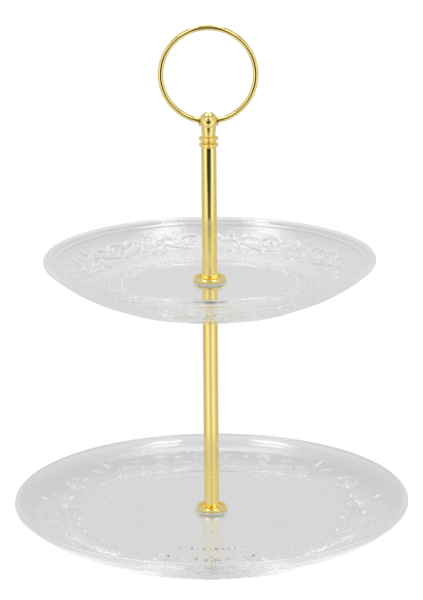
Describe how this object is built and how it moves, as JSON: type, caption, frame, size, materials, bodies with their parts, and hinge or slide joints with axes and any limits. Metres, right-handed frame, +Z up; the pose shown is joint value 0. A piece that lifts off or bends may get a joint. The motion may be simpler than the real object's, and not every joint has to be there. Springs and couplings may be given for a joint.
{
  "type": "tiered cake stand",
  "caption": "Tiered stand for cakes: round pressed-glass plates clamped on a gilt centre rod that screws together, with a finial and a swinging ring handle.",
  "frame": {"origin": "centre of the circle that the lower plate stands on, at table height", "axes": "+Z up along the rod, +X along the ring handle's plane, -Y the front that the ring faces"},
  "size_m": [0.25, 0.25, 0.3231],
  "materials": {
    "pressed_glass": "clear, pressed pattern",
    "gilt_metal": "polished gilt",
    "zinc_steel": "zinc plated",
    "soft_washer": "translucent cream"
  },
  "bodies": {
    "base_plate": {"lower_plate": "pressed_glass"},
    "lower_rod": {"lower_plate_top_washer": "soft_washer", "lower_flange": "gilt_metal", "lower_rod_nut": "zinc_steel", "lower_rod_tube": "gilt_metal", "lower_rod_plug": "zinc_steel", "joining_stud": "zinc_steel", "support_flange": "gilt_metal", "upper_plate_under_washer": "soft_washer"},
    "foot_seat": {"lower_plate_under_washer": "soft_washer", "foot_washer": "zinc_steel"},
    "foot_bolt": {"foot_screw": "zinc_steel"},
    "top_plate": {"upper_plate": "pressed_glass"},
    "clamp_flange": {"upper_plate_top_washer": "soft_washer", "upper_flange": "gilt_metal"},
    "upper_rod": {"upper_rod_nut": "zinc_steel", "upper_rod_tube": "gilt_metal", "upper_rod_plug": "zinc_steel", "finial_stud": "zinc_steel", "finial": "gilt_metal"},
    "ring": {"ring_handle": "gilt_metal"}
  },
  "joints": [
    {"name": "rod_turn", "type": "hinge", "parent": "base_plate", "child": "lower_rod", "pos_m": [0, 0, 0.0105], "axis": [0, 0, 1], "continuous": true},
    {"name": "top_plate_turn", "type": "hinge", "parent": "lower_rod", "child": "top_plate", "pos_m": [0, 0, 0.1563], "axis": [0, 0, 1], "continuous": true},
    {"name": "handle_lift", "type": "slide", "parent": "lower_rod", "child": "clamp_flange", "axis": [0, 0, 1], "range_m": [0, 0.01]},
    {"name": "handle_screw", "type": "hinge", "parent": "clamp_flange", "child": "upper_rod", "pos_m": [0, 0, 0.165], "axis": [0, 0, 1], "range_deg": [0, 3601]},
    {"name": "foot_drop", "type": "slide", "parent": "lower_rod", "child": "foot_seat", "axis": [0, 0, -1], "range_m": [0, 0.01]},
    {"name": "foot_screw_turn", "type": "hinge", "parent": "foot_seat", "child": "foot_bolt", "pos_m": [0, 0, 0.0033], "axis": [0, 0, -1], "range_deg": [0, 3601]},
    {"name": "ring_swing", "type": "hinge", "parent": "upper_rod", "child": "ring", "pos_m": [0, 0, 0.2634], "axis": [1, 0, 0], "range_deg": [-172, 172]}
  ],
  "couplings": [
    {"joint": "handle_screw", "follows": "handle_lift", "rad_per_m": 6283.2},
    {"joint": "foot_screw_turn", "follows": "foot_drop", "rad_per_m": 6283.2}
  ]
}
